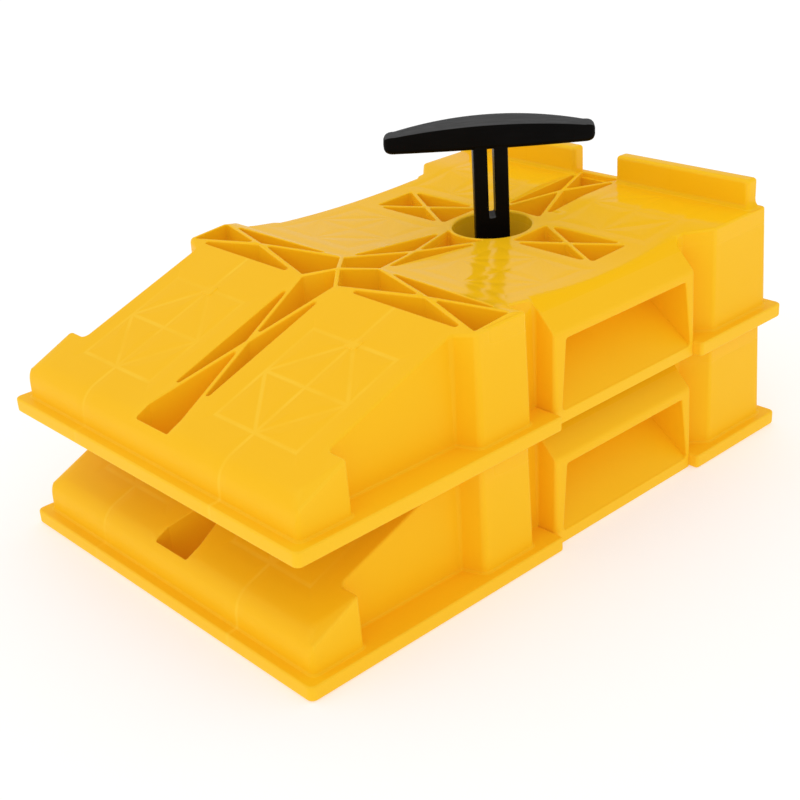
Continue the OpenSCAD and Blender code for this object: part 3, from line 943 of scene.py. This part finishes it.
# ---- Materials ----
class Graph:
    """Adds shader nodes to a node tree. Inputs are given as values or as other nodes' sockets."""

    def __init__(self, tree):
        self.tree = tree

    def put(self, value, socket):
        if isinstance(value, bpy.types.NodeSocket):
            self.tree.links.new(value, socket)
        else:
            socket.default_value = value

    def add(self, kind, inputs, **settings):
        node = self.tree.nodes.new("ShaderNode" + kind)
        for key, value in settings.items():
            setattr(node, key, value)
        for key, value in inputs.items():
            self.put(value, node.inputs[key])
        return node

    def math(self, operation, *values):
        return self.add("Math", dict(enumerate(values)), operation=operation).outputs[0]

    def least(self, *values):
        out = values[0]
        for value in values[1:]:
            out = self.math("MINIMUM", out, value)
        return out

    def total(self, *values):
        out = values[0]
        for value in values[1:]:
            out = self.math("ADD", out, value)
        return out

    def noise(self, vector, scale, detail=2.0):
        return self.add("TexNoise", {"Vector": vector, "Scale": scale, "Detail": detail}).outputs["Fac"]

    def step(self, value, a, b, low, high):
        """Carries value smoothly from the range a to b to the range low to high."""
        inputs = {"Value": value, "From Min": a, "From Max": b, "To Min": low, "To Max": high}
        return self.add("MapRange", inputs, interpolation_type="SMOOTHSTEP").outputs["Result"]

    def blend(self, share, first, second):
        node = self.add("Mix", {0: share, 6: first, 7: second}, data_type="RGBA")
        return node.outputs[2]

    def bump(self, height, strength=1.0):
        """Height is in millimetres."""
        return self.add("Bump", {"Height": height, "Distance": MM, "Strength": strength}).outputs["Normal"]


def new_material(name):
    mat = bpy.data.materials.new(name)
    mat.use_nodes = True
    tree = mat.node_tree
    return mat, Graph(tree), tree.nodes["Principled BSDF"]


def place_nodes(g):
    """The piece's own coordinates, and x, |y| and z in millimetres."""
    own = g.add("TexCoord", {}).outputs["Object"]
    axes = g.add("SeparateXYZ", {0: own}).outputs
    x, y, z = (g.math("MULTIPLY", a, 1 / MM) for a in axes)
    return own, x, g.math("ABSOLUTE", y), z


def rib_distance(g, x, y):
    """Distance to the nearest line of the top where an underside rib draws the skin in."""
    half_y = (PAD_Y[2] - PAD_Y[0]) / 2
    t = g.math("ABSOLUTE", g.math("SUBTRACT", y, PAD_Y[1]))
    to_pads = []
    for xs in PADS_X:
        half_x = (xs[2] - xs[0]) / 2
        s = g.math("ABSOLUTE", g.math("SUBTRACT", x, xs[1]))
        past_x, past_y = g.math("SUBTRACT", s, half_x), g.math("SUBTRACT", t, half_y)
        shares = g.total(g.math("DIVIDE", s, half_x), g.math("DIVIDE", t, half_y), -1.0)
        reach = half_x * half_y / math.hypot(half_x, half_y)
        slanted = g.math("MULTIPLY", g.math("ABSOLUTE", shares), reach)
        near = g.least(s, t, g.math("ABSOLUTE", past_x), g.math("ABSOLUTE", past_y), slanted)
        to_pads.append(g.math("MAXIMUM", near, g.math("MAXIMUM", past_x, past_y)))
    # the middle line of the slope runs on over the lip and up to the cross trench
    to_pads.append(g.math("MAXIMUM", t, g.math("SUBTRACT", x, CROSS_X[0] - 2)))
    return g.least(*to_pads)


YELLOW = (0.918, 0.492, 0.005, 1)
# the paler yellow below is a painted highlight, for the sink lines and the rounded edges
PAINTED_HIGHLIGHT_YELLOW = (0.95, 0.58, 0.035, 1)
DEEP_YELLOW = (0.90, 0.47, 0.003, 1)
# a painted glow: the yellow plastic emits this faint light of its own
PAINTED_GLOW_COLOUR, PAINTED_GLOW = (0.80, 0.54, 0.02, 1), 0.085
MATT, GLOSSY = 0.42, 0.1                    # roughness of the slope, and of the cradle
STOP_SEAM_Y = 70                            # the faint line down a tyre stop
BLACK, WORN_BLACK = (0.0014, 0.0013, 0.0014, 1), (0.0024, 0.0023, 0.0024, 1)
# the paler black below is painted light on the grip's upward faces
TOP_LIGHT_BLACK = (0.085, 0.085, 0.086, 1)


def yellow_plastic():
    mat, g, shader = new_material("yellow_plastic")
    own, x, y, z = place_nodes(g)
    patches = g.noise(own, 14.0, 3.0)
    grain = g.noise(own, 900.0, 2.0)
    waves = g.noise(own, 22.0, 1.0)
    to_rib = rib_distance(g, x, y)
    line = g.step(to_rib, 0.5, 2.0, 1.0, 0.0)
    line = g.math("MULTIPLY", line, g.step(g.noise(own, 25.0), 0.35, 0.65, 0.2, 1.0))
    on_slope = g.step(x, 140.0, 175.0, 1.0, 0.0)
    seam = g.step(g.math("ABSOLUTE", g.math("SUBTRACT", y, STOP_SEAM_Y)), 0.2, 0.7, 1.0, 0.0)
    seam = g.math("MULTIPLY", seam, g.step(z, DECK_Z + 2.0, DECK_Z + 3.0, 0.0, 1.0))

    colour = g.blend(g.step(patches, 0.35, 0.7, 0.0, 0.35), YELLOW, DEEP_YELLOW)
    # the sink lines over the underside ribs are real dips, made in the bump below; their paler colour on
    # the slope is a painted highlight
    colour = g.blend(g.math("MULTIPLY", g.math("MULTIPLY", line, on_slope), 0.6), colour, PAINTED_HIGHLIGHT_YELLOW)
    colour = g.blend(g.math("MULTIPLY", seam, 0.8), colour, DEEP_YELLOW)
    # rounded outer edges are painted paler: a painted highlight where they catch the light
    edge = g.add("NewGeometry", {}).outputs["Pointiness"]
    colour = g.blend(g.step(edge, 0.505, 0.54, 0.0, 0.4), colour, PAINTED_HIGHLIGHT_YELLOW)
    g.put(colour, shader.inputs["Base Color"])
    # the crest, the cradle and the deck are smoother than the slope
    polished = g.math("MULTIPLY", g.math("SUBTRACT", 1.0, on_slope), g.step(z, 70.0, 75.0, 0.0, 1.0))
    rough = g.step(polished, 0.0, 1.0, MATT, GLOSSY)
    g.put(g.total(rough, g.math("MULTIPLY", patches, 0.1)), shader.inputs["Roughness"])
    # the skin swells a little between the ribs
    swell = g.step(to_rib, 0.0, 8.0, 0.0, 0.26)
    height = g.total(swell, g.math("MULTIPLY", line, -0.05), g.math("MULTIPLY", grain, 0.012),
                     g.math("MULTIPLY", waves, 0.25))
    g.put(g.bump(height), shader.inputs["Normal"])
    g.put(0.12, shader.inputs["Specular IOR Level"])
    # painted light: the plastic glows a little, standing in for light through its thin walls, so the cells
    # and the shaded sides don't go dull
    g.put(PAINTED_GLOW_COLOUR, shader.inputs["Emission Color"])
    g.put(PAINTED_GLOW, shader.inputs["Emission Strength"])
    return mat


def black_plastic():
    mat, g, shader = new_material("black_plastic")
    own = g.add("TexCoord", {}).outputs["Object"]
    # fine streaks along the grip, left by the mould
    along = g.add("Mapping", {"Vector": own, "Scale": (30.0, 900.0, 900.0)}).outputs[0]
    streaks = g.noise(along, 1.0, 3.0)
    grain = g.noise(own, 1200.0, 2.0)
    patches = g.noise(own, 40.0, 2.0)
    shade = g.step(patches, 0.3, 0.7, 0.0, 1.0)
    deep = g.blend(shade, BLACK, WORN_BLACK)
    # the faces of the grip that look up are painted paler: painted light from above, streaked along the
    # grip
    up = g.add("SeparateXYZ", {0: g.add("NewGeometry", {}).outputs["Normal"]}).outputs["Z"]
    painted_top_light = g.math("MULTIPLY", g.step(up, 0.25, 0.6, 0.0, 1.0), g.step(streaks, 0.25, 0.75, 0.75, 1.0))
    g.put(g.blend(painted_top_light, deep, TOP_LIGHT_BLACK), shader.inputs["Base Color"])
    g.put(g.step(streaks, 0.3, 0.7, 0.3, 0.46), shader.inputs["Roughness"])
    height = g.total(g.math("MULTIPLY", streaks, 0.03), g.math("MULTIPLY", grain, 0.01))
    g.put(g.bump(height), shader.inputs["Normal"])
    g.put(0.05, shader.inputs["Specular IOR Level"])
    return mat


yellow, black = yellow_plastic(), black_plastic()

# ---- Pieces ----
ramp = ramp_shape()
for name, low in (("lower_ramp", low_lo), ("upper_ramp", up_lo)):
    piece = ramp.object(name + "_moulding", yellow, Matrix.Translation((low_lo.x, 0, low.z)))
    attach(piece, name)
    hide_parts(name)

handle_x = (handle_lo.x + handle_hi.x) / 2
handle_at = Matrix.Translation((handle_x, 0, 0)) @ Matrix.Rotation(HANDLE_TURN, 4, "Z")
piece = handle_shape().object("t_handle_moulding", black, handle_at)
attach(piece, "handle")
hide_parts("handle")


# ---- Camera ----
def add_camera(place, heading, tilt, roll, lens):
    """A camera at place, turned heading degrees from +X towards +Y, tilted down, and rolled."""
    h, t, r = (math.radians(a) for a in (heading, tilt, roll))
    forward = Vector((math.cos(t) * math.cos(h), math.cos(t) * math.sin(h), -math.sin(t)))
    level = Vector((math.sin(h), -math.cos(h), 0))
    down = forward.cross(level)
    right = math.cos(r) * level + math.sin(r) * down
    down = math.cos(r) * down - math.sin(r) * level
    turn = Matrix((right, -down, -forward)).transposed()
    data = bpy.data.cameras.new("camera")
    data.lens = lens
    data.sensor_width = 36
    cam = bpy.data.objects.new("camera", data)
    cam.matrix_world = Matrix.Translation(place) @ turn.to_4x4()
    scene.collection.objects.link(cam)
    scene.camera = cam


add_camera(Vector((-0.5775, -0.6361, 0.4638)), heading=48.495, tilt=25.324, roll=3.85, lens=59.93)


# ---- Stage: pale floor, soft studio light ----
FLOOR_HALF, FLOOR_GAP = 20.0, 0.0004        # in metres
FLOOR_COLOUR, FLOOR_GLOW = (0.72, 0.72, 0.72, 1), 0.35
WHITE = (1.0, 1.0, 1.0, 1)
WORLD, WORLD_SLANT = 0.975, 0.06
MIRRORED_Z, MIRRORED = (0.25, 0.65), (0.5, 0.08)


def add_floor():
    """A white floor just under the part, out to the horizon."""
    mesh = bpy.data.meshes.new("floor")
    half = FLOOR_HALF
    mesh.from_pydata([(x, y, 0) for x, y in rect(-half, half, -half, half)], [], [(0, 1, 2, 3)])
    floor = bpy.data.objects.new("floor", mesh)
    floor.location.z = cad_box[0].z - FLOOR_GAP
    scene.collection.objects.link(floor)
    mat, g, shader = new_material("studio_floor")
    g.put(FLOOR_COLOUR, shader.inputs["Base Color"])
    g.put(0.9, shader.inputs["Roughness"])
    g.put(0.0, shader.inputs["Specular IOR Level"])
    g.put(WHITE, shader.inputs["Emission Color"])
    g.put(FLOOR_GLOW, shader.inputs["Emission Strength"])
    mesh.materials.append(mat)


def add_world():
    """A white studio. What shiny surfaces mirror of it is bright low down and dark overhead."""
    world = bpy.data.worlds.new("studio")
    world.use_nodes = True
    g = Graph(world.node_tree)
    x, y, height = g.add("SeparateXYZ", {0: g.add("TexCoord", {}).outputs["Generated"]}).outputs
    mirrored = g.step(height, *MIRRORED_Z, *MIRRORED)
    # a little more light from the picture's left
    around = g.total(g.math("MULTIPLY", x, -WORLD_SLANT), g.math("MULTIPLY", y, WORLD_SLANT), WORLD)
    is_mirror = g.add("LightPath", {}).outputs["Is Glossy Ray"]
    dimming = g.math("MULTIPLY", is_mirror, g.math("SUBTRACT", WORLD, mirrored))
    back = world.node_tree.nodes["Background"]
    g.put(WHITE, back.inputs["Color"])
    g.put(g.math("SUBTRACT", around, dimming), back.inputs["Strength"])
    scene.world = world


add_floor()
add_world()
scene.view_settings.view_transform = "Standard"
